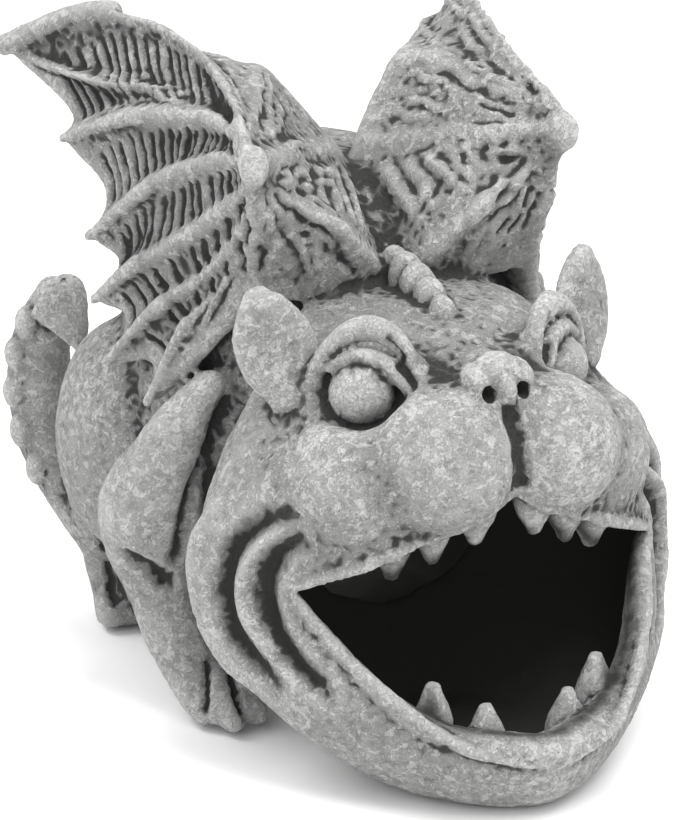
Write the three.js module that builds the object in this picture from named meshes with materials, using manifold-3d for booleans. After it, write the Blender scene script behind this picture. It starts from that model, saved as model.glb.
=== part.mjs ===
// Crouching stone gargoyle: a squat winged beast cast hollow in one piece, whose
// gaping mouth opens into a water passage that leaves through a socket in its rump.
// Millimetres, +Z up. The beast faces -Y and its right side is -X. The origin is
// under the middle of its box, on the ground.

import * as THREE from 'three';
import { mergeVertices } from 'three/addons/utils/BufferGeometryUtils.js';
import Module from 'manifold-3d';

const wasm = await Module();
wasm.setup();

// ---------------------------------------------------------------- driving sizes

const WALL = 8; // thickness of the casting
const RIGHT = -1; // the beast's right, towards -X
const LEFT = 1;

// The head and the body are lofts of level sections. Each level gives its height,
// its front, its widest line, its back, its half width and the roundness of its plan.
const HEAD_LEVELS = [
  [0, -124, -88, -46, 32, 1.7],
  [6, -132, -84, -30, 48, 1.55],
  [22, -140, -76, -10, 69, 1.4],
  [44, -136, -58, 6, 88, 1.4],
  [70, -122, -44, 16, 94, 1.35],
  [94, -104, -48, 20, 90, 1.6],
  [112, -104, -44, 18, 79, 1.75],
  [128, -102, -34, 12, 68, 1.5],
  [145, -86, -28, 8, 54, 1.5],
  [156, -62, -20, 4, 40, 1.8],
  [161, -40, -16, -2, 20, 2],
];
const BODY_LEVELS = [
  [0, 14, 70, 122, 52, 2.6],
  [10, 4, 68, 130, 66, 2.6],
  [50, -20, 60, 132, 76, 2.4],
  [100, -24, 55, 130, 76, 2.2],
  [145, -16, 52, 124, 70, 2.1],
  [175, -2, 54, 112, 56, 2],
  [192, 18, 58, 98, 34, 2],
  [198, 36, 60, 84, 14, 2],
];

// Mouth: a wide half moon. Each row of a lip gives how far out from the middle a
// point of its edge stands, and its height. The lips meet at the corners.
const UPPER_LIP = [[0, 108], [12, 100], [26, 94], [40, 88], [56, 81], [70, 75]];
const LOWER_LIP = [[0, 27], [15, 28], [30, 30], [45, 38], [58, 53], [70, 75]];
const MOUTH_HALF = 70;
const MOUTH_BACK = -60; // how far back the opening is cut straight
const MOUTH_CUT = 110; // length of that cut, which runs out past the chin
const UPPER_LIP_ROLL = [3.5, 5]; // height and thickness of a rolled lip
const LOWER_LIP_ROLL = [4.5, 8];

// Two folds curl round each corner of the smile. Each row is a place forward and a
// height on the cheek.
const SMILE_OUTER = [[-70, 108], [-62, 96], [-53, 78], [-51, 60], [-58, 42]];
const SMILE_INNER = [[-80, 92], [-77, 82], [-72, 68], [-72, 56], [-78, 42]];
const FOLD_RADIUS = 3;

// Rear socket that takes the water pipe, and the flat rim around it.
const SOCKET_HALF_WIDTH = 46;
const SOCKET_BOTTOM = 12;
const SOCKET_HEIGHT = 76;
const SOCKET_DEPTH = 30; // how far it reaches into the hollow trunk
const RUMP_Y = 126;
const RIM = 14; // how far the flat rim reaches around the socket

// Face. The rows of the brow and the lower lid give points of a rounded fold and
// its half thickness.
const EYE = [37, -64, 135];
const EYE_RADIUS = 12;
const BROW = [
  [53, -52, 124, 3],
  [51, -54, 138, 4],
  [45, -59, 150, 5],
  [35, -64, 157, 5.5],
  [25, -72, 154, 5.5],
  [19, -80, 140, 4],
];
const LOWER_LID = [[52, -54, 126, 3], [40, -68, 124, 3.5], [28, -78, 129, 3.5]];
const EAR_ROOT = [57, -48, 135];
const EAR_TIP = [65, -34, 171];
const EAR_FACING = [0.35, -0.93, 0.1];
const PUFF = [20, -92, 117];
const PUFF_RADII = [24, 24, 25];
const NOSE = [0, -92, 147];
const NOSE_RADII = [12, 9, 8];
const NOSTRIL = [6.5, -100, 145];
const NOSTRIL_RADII = [2.6, 5, 2.6];
const CREST_SPIKES = 6;
const CREST_BACK = [0, -4, 166];
const CREST_FRONT = [0, -50, 158];
const SPIKE_RADIUS = 4.5; // of the first and the last spike
const SPIKE_SWELL = 2.5; // how much bigger the middle of the row is
const SPIKE_SLIMNESS = 1.6;
const SPIKE_LEAN = [-0.4, 0, 0];

// Teeth. Each row gives how far from the middle a tooth stands, how far behind the
// face, the height of its root and the height of its tip.
const UPPER_TEETH = [[12, 5, 106, 91], [26, 5, 102, 85], [39, 5, 98, 80]];
const LOWER_TEETH = [[17, 13, 22, 37], [34, 12, 25, 43]];
const TOOTH_RADIUS = 7;
const TOOTH_TIP = 2.5;

// Limbs. A row is a point of the limb's middle line and its half width there.
const ARM = [
  [72, 0, 134, 8],
  [80, 7, 112, 12],
  [83, 16, 88, 18],
  [82, 21, 68, 20],
  [80, 21, 46, 14],
  [77, 13, 28, 12],
  [73, 4, 12, 9],
];
const FINGERS = [
  [[79, 4, 17, 6.5], [78, -4, 11, 6.5], [77, -12, 5.2, 5]],
  [[71, 0, 17, 6.5], [70.5, -11.5, 11, 6.5], [70, -23, 5.2, 5]],
  [[62, 0, 17, 6.5], [60.5, -10, 11, 6.5], [59, -20, 5.2, 5]],
];
const HAUNCH = [62, 82, 82];
const HAUNCH_RADII = [31, 42, 49];
const HAUNCH_LEAN = [0.12, 0, 0];
const SHIN = [[66, 100, 60, 20], [64, 110, 36, 14], [62, 110, 14, 11]];
const TOES = [
  [[57, 106, 8, 7], [54, 92, 6, 6]],
  [[62, 106, 8, 7], [63, 92, 6, 6]],
  [[67, 106, 8, 7], [72, 92, 6, 6]],
];

// The tail leaves the right side of the rump, beside the socket, climbs behind the
// right haunch and hooks forward over it with a spade tip, whose rows also give its
// half thickness.
const TAIL = [
  [-64, 110, 34, 14],
  [-72, 124, 50, 14],
  [-79, 136, 68, 13],
  [-81, 141, 88, 13],
  [-80, 140, 108, 12],
  [-77, 134, 124, 9],
];
const SPADE = [
  [-79, 134, 130, 6, 4],
  [-77, 129, 127, 12, 5],
  [-74, 121, 117, 7, 4],
  [-72, 116, 107, 1, 1],
];
const SPADE_FACING = [-0.4, -0.8, 0.4];

// Wings. Every finger of a wing starts at the wrist, in front of and above the
// cheek. The rows follow one turn around the wrist: the leading finger, the other
// fingers of the ribbed fan, the edges of the front sheet that lies on the
// shoulder and the nape, and the rim that climbs back to the leading finger.
const WRIST = [61, -25, 212];
const WRIST_KNOB = [6, 6, 9];
const FINGER_HEIGHT = 3.5;
const WEB_SAG = 6;
const SCALLOP = 0.14; // how far the free edge is cut back between two fingers
const WING_THICKNESS = 6;
const WING_ROOT = [26, 52, 176];
const WING_INWARDS = [-0.6, 0.5, -0.6]; // from a wing's front towards its back
const WING_CLOSING = [0, 0.6]; // how far each ring of the back is towards the root
const FAN = [
  [[56, 2, 230], [58, 40, 244], [74, 84, 248], [96, 128, 229]],
  [[62, -10, 221], [66, 12, 222], [78, 44, 217], [90, 83, 202]],
  [[63, -12, 212], [70, 12, 204], [78, 34, 192], [87, 67, 168]],
  [[61, -16, 200], [69, 10, 181], [79, 44, 161], [86, 65, 144]],
  [[60, -16, 190], [66, 2, 168], [76, 27, 150], [87, 53, 123]],
  [[59, -17, 184], [64, 0, 161], [72, 13, 144], [85, 17, 118]],
];
const SHEET = [
  [[60, -22, 200], [59, -20, 188], [58, -16, 176], [57, -13, 162]],
  [[52, -20, 200], [44, -20, 188], [36, -20, 176], [30, -18, 162]],
  [[50, -18, 200], [40, -20, 194], [26, -24, 186], [8, -17, 168]],
  [[46, -16, 210], [32, -2, 208], [18, 12, 205], [4, 26, 202]],
  [[52, -6, 222], [44, 10, 226], [36, 26, 232], [28, 40, 233]],
];

// ------------------------------------------------------------------ construction

const vector = ([x, y, z]) => new THREE.Vector3(x, y, z);
const onSide = (side, [x, y, z, ...rest]) => [side * x, y, z, ...rest];
const both = (make) => [RIGHT, LEFT].map((side) => make(side));

function solidOf(geometry) {
  const bare = geometry.index ? geometry.toNonIndexed() : geometry.clone();
  bare.deleteAttribute('normal');
  bare.deleteAttribute('uv');
  const merged = mergeVertices(bare, 1e-4);
  const mesh = new wasm.Mesh({
    numProp: 3,
    vertProperties: new Float32Array(merged.attributes.position.array),
    triVerts: new Uint32Array(merged.index.array),
  });
  return new wasm.Manifold(mesh);
}

function geometryOf(solid) {
  const mesh = solid.getMesh();
  const geometry = new THREE.BufferGeometry();
  geometry.setAttribute('position', new THREE.BufferAttribute(mesh.vertProperties, 3));
  geometry.setIndex(new THREE.BufferAttribute(mesh.triVerts, 1));
  return geometry;
}

function joined(solids) {
  return solids.reduce((whole, piece) => whole.add(piece));
}

// Moves every vertex of a geometry to where place(x, y, z) puts it.
function reshaped(geometry, place) {
  const position = geometry.attributes.position;
  for (let i = 0; i < position.count; i += 1) {
    const point = place(position.getX(i), position.getY(i), position.getZ(i));
    position.setXYZ(i, point.x, point.y, point.z);
  }
  return geometry;
}

// A curve through rows of numbers, three numbers at a time.
function track(rows, first) {
  return new THREE.CatmullRomCurve3(
    rows.map((row) => new THREE.Vector3(row[first], row[first + 1], row[first + 2])),
  );
}

// An ellipsoid, turned by tilt (radians) and put at its centre.
function blob(centre, radii, tilt = [0, 0, 0], around = 16, rings = 10) {
  const geometry = new THREE.SphereGeometry(1, around, rings);
  geometry.rotateX(Math.PI / 2);
  geometry.scale(...radii);
  geometry.rotateX(tilt[0]);
  geometry.rotateY(tilt[1]);
  geometry.rotateZ(tilt[2]);
  geometry.translate(...centre);
  return solidOf(geometry);
}

const END_BEND = 0.85; // angle of the ring that rounds a limb's end off

// A round-ended limb along stations [x, y, z, half width, half height]. The half
// height is measured towards the reference direction `up`.
function limb(stations, { sides = 8, steps = 6, up = [0, 0, 1] } = {}) {
  const rows = stations.map(([x, y, z, wide, high = wide]) => [x, y, z, wide, high, 0]);
  const path = track(rows, 0);
  const girth = track(rows, 3);
  const rings = steps + 2;
  const upward = vector(up).normalize();
  const geometry = new THREE.CylinderGeometry(1, 1, 1, sides, rings);
  return solidOf(reshaped(geometry, (x, y, z) => {
    const ring = Math.round((0.5 - y) * rings);
    const along = THREE.MathUtils.clamp((ring - 1) / steps, 0, 1);
    const atPole = Math.hypot(x, z) < 1e-6;
    const atEnd = ring === 0 || ring === rings;
    const bend = atPole ? Math.PI / 2 : Number(atEnd) * END_BEND;
    const tangent = path.getTangent(along);
    const across = new THREE.Vector3().crossVectors(tangent, upward).normalize();
    const over = new THREE.Vector3().crossVectors(across, tangent);
    const size = girth.getPoint(along);
    const reach = Math.min(size.x, size.y) * Math.sin(bend) * (ring === 0 ? -1 : 1);
    return path.getPoint(along)
      .addScaledVector(tangent, reach)
      .addScaledVector(across, -x * size.x * Math.cos(bend))
      .addScaledVector(over, z * size.y * Math.cos(bend));
  }));
}

// A body of level sections. Each section is a rounded plan with its own front,
// widest line, back and half width; inset draws all of it inwards.
function loft(levels, around, rings, inset = 0) {
  const outline = track(levels, 0);
  const middle = track(levels, 3);
  const geometry = new THREE.CylinderGeometry(1, 1, 1, around, rings);
  return solidOf(reshaped(geometry, (x, y, z) => {
    const level = outline.getPoint(0.5 + y);
    const plan = middle.getPoint(0.5 + y);
    const [height, front, widest] = [level.x, level.y, level.z];
    const [back, half, roundness] = [plan.x, plan.y, plan.z];
    const power = 2 / roundness;
    const out = Math.hypot(x, z) < 1e-6 ? 0 : 1;
    const reachY = (z > 0 ? widest - front : back - widest) - inset;
    const low = levels[0][0] + inset;
    const high = levels[levels.length - 1][0] - inset;
    return new THREE.Vector3(
      out * Math.sign(x) * Math.abs(x) ** power * (half - inset),
      widest - out * Math.sign(z) * Math.abs(z) ** power * reachY,
      THREE.MathUtils.clamp(height, low, high),
    );
  }));
}

// ------------------------------------------------------------------------- mouth

// The height of a lip's edge at a distance from the middle.
function lipAt(rows, x) {
  const out = Math.abs(x);
  const next = rows.findIndex((row) => row[0] > out);
  if (next < 0) return rows[rows.length - 1][1];
  const [from, to] = [rows[next - 1], rows[next]];
  return THREE.MathUtils.mapLinear(out, from[0], to[0], from[1], to[1]);
}
const upperLip = (x) => lipAt(UPPER_LIP, x);
const lowerLip = (x) => lipAt(LOWER_LIP, x);

// The opening between the lips, cut straight back into the head.
function mouthCut() {
  const points = [];
  const steps = 12;
  for (let i = 0; i <= steps; i += 1) {
    const x = MOUTH_HALF * Math.cos((Math.PI * i) / steps);
    points.push(new THREE.Vector2(x, upperLip(x)));
  }
  for (let i = steps - 1; i > 0; i -= 1) {
    const x = MOUTH_HALF * Math.cos((Math.PI * i) / steps);
    points.push(new THREE.Vector2(x, lowerLip(x)));
  }
  const shape = new THREE.Shape(points);
  const geometry = new THREE.ExtrudeGeometry(shape, { depth: MOUTH_CUT, bevelEnabled: false });
  geometry.rotateX(Math.PI / 2);
  geometry.translate(0, MOUTH_BACK, 0);
  return solidOf(geometry);
}

// The hollow behind the mouth, the hollow trunk, and the socket in the rump.
function hollow() {
  const jaws = HEAD_LEVELS.filter((level) => level[0] < EYE[2]);
  const bowl = loft(jaws, 16, 6, WALL);
  const belly = loft(BODY_LEVELS, 14, 6, WALL);
  const socket = new THREE.BoxGeometry(2 * SOCKET_HALF_WIDTH, 2 * SOCKET_DEPTH, SOCKET_HEIGHT);
  socket.translate(0, RUMP_Y, SOCKET_BOTTOM + SOCKET_HEIGHT / 2);
  return joined([bowl, belly, solidOf(socket)]);
}

// The rump is cut off flat, so that the socket has a flat rim to meet a wall.
function trunk() {
  const width = 2 * (SOCKET_HALF_WIDTH + RIM);
  const height = SOCKET_HEIGHT + 2 * RIM;
  const depth = 40;
  const waste = new THREE.BoxGeometry(width, depth, height);
  waste.translate(0, RUMP_Y + depth / 2, SOCKET_BOTTOM + SOCKET_HEIGHT / 2);
  return loft(BODY_LEVELS, 18, 7).subtract(solidOf(waste));
}

// The level section of the head at a height.
function headPlan(z) {
  const outline = track(HEAD_LEVELS, 0);
  const middle = track(HEAD_LEVELS, 3);
  let low = 0;
  let high = 1;
  for (let i = 0; i < 24; i += 1) {
    const share = (low + high) / 2;
    if (outline.getPoint(share).x < z) low = share;
    else high = share;
  }
  const level = outline.getPoint(low);
  const plan = middle.getPoint(low);
  return { front: level.y, widest: level.z, half: plan.y, roundness: plan.z };
}

// Where the head's front stands at a distance from the middle and a height.
function faceY(x, z) {
  const { front, widest, half, roundness } = headPlan(z);
  const out = Math.min(Math.abs(x) / half, 1);
  return widest - (widest - front) * (1 - out ** roundness) ** (1 / roundness);
}

// How far out the cheek stands at a distance forward and a height.
function cheekX(y, z) {
  const { front, widest, half, roundness } = headPlan(z);
  const forward = THREE.MathUtils.clamp((widest - y) / (widest - front), 0, 1);
  return half * (1 - forward ** roundness) ** (1 / roundness);
}

// A rolled lip along an edge of the mouth.
function lip(edge, [high, thick]) {
  const stations = [];
  for (let i = -5; i <= 5; i += 1) {
    const x = MOUTH_HALF * Math.sin((Math.PI * i) / 10);
    stations.push([x, faceY(x, edge(x)) + thick, edge(x), high, thick]);
  }
  return limb(stations, { sides: 6, steps: 14, up: [0, 1, 0] });
}

function teeth(side) {
  return joined([...UPPER_TEETH, ...LOWER_TEETH].map(([x, behind, root, tip]) => {
    const y = faceY(x, root) + behind;
    return limb(
      [[side * x, y, root, TOOTH_RADIUS], [side * x, y, tip, TOOTH_TIP]],
      { sides: 5, steps: 1, up: [0, 1, 0] },
    );
  }));
}

function smileFolds(side) {
  return joined([SMILE_OUTER, SMILE_INNER].map((line) => {
    const stations = line.map(([y, z]) => [side * cheekX(y, z), y, z, FOLD_RADIUS]);
    return limb(stations, { sides: 5, steps: 5, up: [1, 0, 0] });
  }));
}

// ------------------------------------------------------------------------- face

function eye(side) {
  const ball = blob(onSide(side, EYE), [EYE_RADIUS, EYE_RADIUS, EYE_RADIUS], [0, 0, 0], 8, 6);
  const brow = limb(BROW.map((row) => onSide(side, row)), { sides: 5, steps: 6, up: [0, 1, 0] });
  const lid = limb(LOWER_LID.map((row) => onSide(side, row)), { sides: 5, steps: 3, up: [0, 1, 0] });
  return joined([ball, brow, lid]);
}

// A leaf-shaped ear, dished in front.
function ear(side) {
  const root = vector(onSide(side, EAR_ROOT));
  const tip = vector(onSide(side, EAR_TIP));
  const facing = vector(onSide(side, EAR_FACING));
  const row = (share, half, thick, lift = 0) => [
    ...root.clone().lerp(tip, share).addScaledVector(facing, lift).toArray(), half, thick,
  ];
  const up = facing.toArray();
  const leaf = limb(
    [row(0, 9, 6), row(0.3, 14, 5), row(0.65, 13, 4), row(1, 3, 3)],
    { sides: 6, steps: 4, up },
  );
  const dish = limb(
    [row(0.2, 7, 4, 6), row(0.5, 9, 4, 5), row(0.8, 4, 4, 5)],
    { sides: 6, steps: 3, up },
  );
  return leaf.subtract(dish);
}

function nose() {
  const bridge = blob(NOSE, NOSE_RADII, [0.3, 0, 0], 10, 6);
  const nostrils = both((side) => blob(onSide(side, NOSTRIL), NOSTRIL_RADII, [0, 0, 0], 6, 4));
  return bridge.subtract(joined(nostrils));
}

// Spikes along the nape, the biggest in the middle of the row.
function crest() {
  const spikes = [];
  for (let i = 0; i < CREST_SPIKES; i += 1) {
    const share = i / (CREST_SPIKES - 1);
    const at = vector(CREST_BACK).lerp(vector(CREST_FRONT), share);
    const size = SPIKE_RADIUS + SPIKE_SWELL * Math.sin(Math.PI * share);
    spikes.push(blob(at.toArray(), [size, size, size * SPIKE_SLIMNESS], SPIKE_LEAN, 6, 4));
  }
  return joined(spikes);
}

// ------------------------------------------------------------------------- limbs

function foreleg(side) {
  const arm = limb(ARM.map((row) => onSide(side, row)), { sides: 8, steps: 6, up: [1, 0, 0] });
  const fingers = FINGERS.map((finger) => limb(
    finger.map((row) => onSide(side, row)),
    { sides: 6, steps: 1 },
  ));
  return joined([arm, ...fingers]);
}

function hindLeg(side) {
  const haunch = blob(onSide(side, HAUNCH), HAUNCH_RADII, HAUNCH_LEAN, 12, 8);
  const shin = limb(SHIN.map((row) => onSide(side, row)), { sides: 8, steps: 2, up: [1, 0, 0] });
  const toes = TOES.map((toe) => limb(
    toe.map((row) => onSide(side, row)),
    { sides: 6, steps: 1 },
  ));
  return joined([haunch, shin, ...toes]);
}

function tail() {
  const stem = limb(TAIL, { sides: 8, steps: 8, up: [0, 1, 0] });
  return joined([stem, limb(SPADE, { sides: 6, steps: 4, up: SPADE_FACING })]);
}

// ------------------------------------------------------------------------- wings

// A wing is an umbrella of raised fingers around the wrist with webs that sag
// between them, a thick free edge, and a plain back that closes down into the
// shoulders. Each web is drawn in the four steps of WEB_PROFILE: how far it is
// towards the next finger, how much it is raised as a finger, and how much it sags.
const WEB_PROFILE = [[0, 1, 0], [0.16, 0, 0.5], [0.5, 0, 1], [0.84, 0, 0.5]];

function wing(side) {
  const wrist = vector(onSide(side, WRIST));
  const root = vector(onSide(side, WING_ROOT));
  const inwards = vector(onSide(side, WING_INWARDS)).normalize();
  const fingers = [...FAN, ...SHEET].map((rows) => new THREE.CatmullRomCurve3(
    [WRIST, ...rows].map((point) => vector(onSide(side, point))),
  ));
  const frontRings = 5;
  const rings = frontRings + WING_CLOSING.length;
  const around = fingers.length * WEB_PROFILE.length;
  const geometry = new THREE.CylinderGeometry(1, 1, 1, around, rings);
  const web = solidOf(reshaped(geometry, (x, y, z) => {
    const ring = Math.round((0.5 - y) * rings);
    if (Math.hypot(x, z) < 1e-6) return ring === 0 ? wrist : root;
    const turn = (Math.atan2(x, z) / (2 * Math.PI) + 1) % 1;
    const place = Math.round((side > 0 ? 1 - turn : turn) * around) % around;
    const finger = Math.floor(place / WEB_PROFILE.length);
    const [share, raised, slack] = WEB_PROFILE[place % WEB_PROFILE.length];
    const along = Math.min((ring + 0.3) / (frontRings + 0.3), 1);
    const next = fingers[(finger + 1) % fingers.length].getPoint(along);
    const point = fingers[finger].getPoint(along).lerp(next, share);
    const inFan = finger < FAN.length - 1;
    const sag = slack * along * (inFan ? WEB_SAG : WEB_SAG / 3);
    const rib = raised * (finger === 0 ? 2 : 1) * (finger <= FAN.length ? FINGER_HEIGHT : 1);
    point.addScaledVector(inwards, sag - rib);
    point.lerp(wrist, inFan ? SCALLOP * slack * along ** 4 : 0);
    if (ring <= frontRings) return point;
    const closed = WING_CLOSING[ring - frontRings - 1];
    return point.addScaledVector(inwards, WING_THICKNESS + rib).lerp(root, closed);
  }));
  return web.add(blob(onSide(side, WRIST), WRIST_KNOB, [0, 0, 0], 6, 4));
}

// -------------------------------------------------------------------------- build

const shell = joined([
  loft(HEAD_LEVELS, 24, 11),
  trunk(),
  ...both((side) => blob(onSide(side, PUFF), PUFF_RADII, [0, 0, 0], 12, 7)),
  nose(),
  crest(),
  ...both(eye),
  ...both(ear),
  ...both(foreleg),
  ...both(hindLeg),
  tail(),
  ...both(wing),
]);
const carved = shell
  .subtract(hollow())
  .subtract(mouthCut())
  .subtract(joined(both(smileFolds)));
const lips = [lip(upperLip, UPPER_LIP_ROLL), lip(lowerLip, LOWER_LIP_ROLL)];
const gargoyle = joined([carved, ...lips, ...both(teeth)]);

const stone = new THREE.MeshStandardMaterial({ color: 0xa2a29f, roughness: 0.9, metalness: 0 });
const mesh = new THREE.Mesh(geometryOf(gargoyle), stone);
mesh.name = 'gargoyle';
mesh.geometry.computeBoundingBox();
const middle = mesh.geometry.boundingBox.getCenter(new THREE.Vector3());
mesh.position.set(-middle.x, -middle.y, 0);

const group = new THREE.Group();
group.add(mesh);

export default group;
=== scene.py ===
import math
import random

import bmesh
import bpy
import numpy as np
from mathutils import Matrix, Vector, bvhtree, kdtree, noise


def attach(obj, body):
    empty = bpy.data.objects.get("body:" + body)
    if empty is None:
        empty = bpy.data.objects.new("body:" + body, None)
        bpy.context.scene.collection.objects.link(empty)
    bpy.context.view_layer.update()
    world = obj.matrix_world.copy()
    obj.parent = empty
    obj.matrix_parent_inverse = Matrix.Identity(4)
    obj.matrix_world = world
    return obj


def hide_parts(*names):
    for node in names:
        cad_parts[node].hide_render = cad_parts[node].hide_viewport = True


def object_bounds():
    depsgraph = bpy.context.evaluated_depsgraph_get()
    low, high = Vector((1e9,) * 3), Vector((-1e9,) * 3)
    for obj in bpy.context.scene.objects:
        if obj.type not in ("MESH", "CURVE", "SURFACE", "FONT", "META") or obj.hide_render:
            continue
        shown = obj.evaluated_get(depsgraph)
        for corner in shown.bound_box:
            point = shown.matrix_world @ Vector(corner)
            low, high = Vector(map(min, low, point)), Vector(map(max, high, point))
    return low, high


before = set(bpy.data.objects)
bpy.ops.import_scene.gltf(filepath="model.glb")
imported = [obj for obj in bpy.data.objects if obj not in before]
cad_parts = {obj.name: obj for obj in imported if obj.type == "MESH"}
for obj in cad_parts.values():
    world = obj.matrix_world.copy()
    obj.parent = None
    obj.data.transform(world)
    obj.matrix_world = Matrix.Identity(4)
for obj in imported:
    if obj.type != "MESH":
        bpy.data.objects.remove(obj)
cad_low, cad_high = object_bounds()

bl_info = {
    "name": "Stone Gargoyle",
    "version": (1, 0, 0),
    "blender": (4, 5, 0),
    "location": "View3D > Sidebar > Gargoyle",
    "description": "Carves a crouching winged gargoyle of cast stone and sets it on a studio floor",
    "category": "Add Mesh",
}

# Sizes are in millimetres in the carver's frame: the beast faces -Y, +Z is up, its
# right side is -X, and y = 0 is a little in front of its middle. The finished mesh is
# moved back by BEAST_MIDDLE and scaled to metres, which is the frame's place for it.
MM = 0.001
BEAST_MIDDLE = 6.913
SIDES = (-1, 1)

# Level sections of the head and the body: height, front, widest line, back, half
# width, roundness of the plan.
HEAD = [
    [0, -124, -88, -46, 32, 1.7], [6, -132, -84, -30, 48, 1.55], [22, -140, -76, -10, 69, 1.4],
    [44, -136, -58, 6, 88, 1.4], [70, -122, -44, 16, 94, 1.35], [94, -104, -48, 20, 90, 1.6],
    [112, -104, -44, 18, 79, 1.75], [128, -102, -34, 12, 68, 1.5], [145, -86, -28, 8, 54, 1.5],
    [156, -62, -20, 4, 40, 1.8], [161, -40, -16, -2, 20, 2],
]
BODY = [
    [0, 14, 70, 122, 52, 2.6], [10, 4, 68, 130, 66, 2.6], [50, -20, 60, 132, 76, 2.4],
    [100, -24, 55, 130, 76, 2.2], [145, -16, 52, 124, 70, 2.1], [175, -2, 54, 112, 56, 2],
    [192, 18, 58, 98, 34, 2], [198, 36, 60, 84, 14, 2],
]
BOWL_LEVELS = 8
WALL = 8
RUMP_Y = 126
SOCKET_HALF, SOCKET_BOTTOM, SOCKET_TALL, SOCKET_DEEP, RIM = 46, 12, 76, 30, 14
RUMP_WASTE = 40

MOUTH_HALF = 70
# The edges of the lips: how far out from the middle, and how high.
UPPER_LIP = [(0, 108), (6, 104), (12, 100), (20, 97), (30, 93), (38, 89), (48, 84.5), (58, 80.5),
             (66, 77), (70, 75)]
LOWER_LIP = [(0, 27), (15, 28), (25, 29), (35, 31.5), (45, 38), (55, 49), (65, 64), (70, 73)]
MOUTH_FRONT, MOUTH_BACK = -175, -60

# The wings. Every finger of a wing starts at the wrist: first those of the ribbed fan,
# then the ridges of the front sheet, in one turn round the wrist.
WRIST = (61, -25, 212)
WING_ROOT = (26, 52, 176)
WRIST_KNOB = (6, 6, 8)
WING_INWARDS = (-0.6, 0.5, -0.6)
WEB_SAG, SCALLOP, WING_THICK = 6, 0.14, 6
FAN = [
    [(56, 2, 230), (58, 40, 244), (74, 84, 248), (96, 128, 229)],
    [(62, -10, 221), (66, 12, 222), (78, 44, 217), (90, 83, 202)],
    [(63, -12, 212), (70, 12, 204), (78, 34, 192), (87, 67, 168)],
    [(61, -16, 200), (69, 10, 181), (79, 44, 161), (86, 65, 144)],
    [(60, -16, 190), (66, 2, 168), (76, 27, 150), (87, 53, 123)],
    [(59, -17, 184), (64, 0, 161), (72, 13, 144), (85, 17, 118)],
]
SHEET = [
    [(60, -22, 200), (59, -20, 188), (58, -16, 176), (57, -13, 162)],
    [(52, -20, 200), (44, -20, 188), (36, -20, 176), (30, -18, 162)],
    [(50, -18, 200), (40, -20, 194), (26, -24, 186), (8, -17, 168)],
    [(46, -16, 210), (32, -2, 208), (18, 12, 205), (4, 26, 202)],
    [(52, -6, 222), (44, 10, 226), (36, 26, 232), (28, 40, 233)],
]
# Half width and height of each finger and ridge of the wing, in the same order.
BULK = [(8, 7.5), (5.5, 4.5), (5, 4.5), (4.5, 4.5), (4, 4.5), (4, 4.5),
        (3.5, 3.5), (3, 1.5), (4.5, 4), (5.5, 6), (4, 1.5)]

# Fineness of the carving, in millimetres, and the triangles left at the end.
FORM_VOXEL, QUICK_FORM_VOXEL = 1.5, 2.4
DETAIL_VOXEL, QUICK_DETAIL_VOXEL = 1.0, 1.8
TRIANGLES = 190000


# ---------------------------------------------------------------- curves and forms

def spline(rows, shares):
    """Smooth curve through rows of numbers, read at shares of its length from 0 to 1."""
    rows = np.asarray(rows, float)
    rows = np.vstack([2 * rows[0] - rows[1], rows, 2 * rows[-1] - rows[-2]])
    spans = len(rows) - 3
    at = np.clip(np.asarray(shares, float) * spans, 0, spans - 1e-9)
    k = at.astype(int)
    u = (at - k)[..., None]
    a, b, c, d = rows[k], rows[k + 1], rows[k + 2], rows[k + 3]
    return 0.5 * (2 * b + (c - a) * u + (2 * a - 5 * b + 4 * c - d) * u ** 2
                  + (3 * b - a - 3 * c + d) * u ** 3)


def mirrored(row, side):
    return (side * row[0], *row[1:])


def unit(v):
    return v / np.maximum(np.linalg.norm(v, axis=-1, keepdims=True), 1e-9)


def ball_grid(bm, around, rings):
    """A sphere to be reshaped: its vertices, the ring each stands on and its turn."""
    made = bmesh.ops.create_uvsphere(bm, u_segments=around, v_segments=rings, radius=1)["verts"]
    co = np.array([v.co for v in made])
    ring = np.rint(np.arccos(np.clip(co[:, 2], -1, 1)) / math.pi * rings)
    return made, ring, np.arctan2(co[:, 1], co[:, 0])


def put(verts, points):
    for v, p in zip(verts, points):
        v.co = p


def blob(bm, centre, radii, tilt=(0, 0, 0)):
    """An ellipsoid turned by tilt, in radians about X, Y and Z."""
    turn = (Matrix.Rotation(tilt[2], 4, "Z") @ Matrix.Rotation(tilt[1], 4, "Y")
            @ Matrix.Rotation(tilt[0], 4, "X"))
    place = Matrix.Translation(centre) @ turn @ Matrix.Diagonal((*radii, 1))
    bmesh.ops.create_uvsphere(bm, u_segments=32, v_segments=20, radius=1, matrix=place)


def limb(bm, rows, up=(0, 0, 1), around=20, steps=24, caps=4):
    """A round-ended limb along rows of x, y, z, half width and half height."""
    rows = [tuple(r) if len(r) == 5 else (*r, r[3]) for r in rows]
    made, ring, turn = ball_grid(bm, around, steps + 2 * caps)
    first = np.clip(1 - ring / caps, 0, 1)
    last = np.clip((ring - caps - steps) / caps, 0, 1)
    bend = (first + last) * math.pi / 2
    along = np.clip((ring - caps) / steps, 0, 1)
    row = spline(rows, along)
    ahead = unit(spline(rows, along + 0.01)[:, :3] - spline(rows, along - 0.01)[:, :3])
    across = unit(np.cross(ahead, np.asarray(up, float)))
    over = np.cross(across, ahead)
    reach = np.minimum(row[:, 3], row[:, 4]) * np.sin(bend) * np.where(last > 0, 1, -1)
    put(made, row[:, :3] + ahead * reach[:, None]
        + across * (np.cos(turn) * np.cos(bend) * row[:, 3])[:, None]
        + over * (np.sin(turn) * np.cos(bend) * row[:, 4])[:, None])


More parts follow.
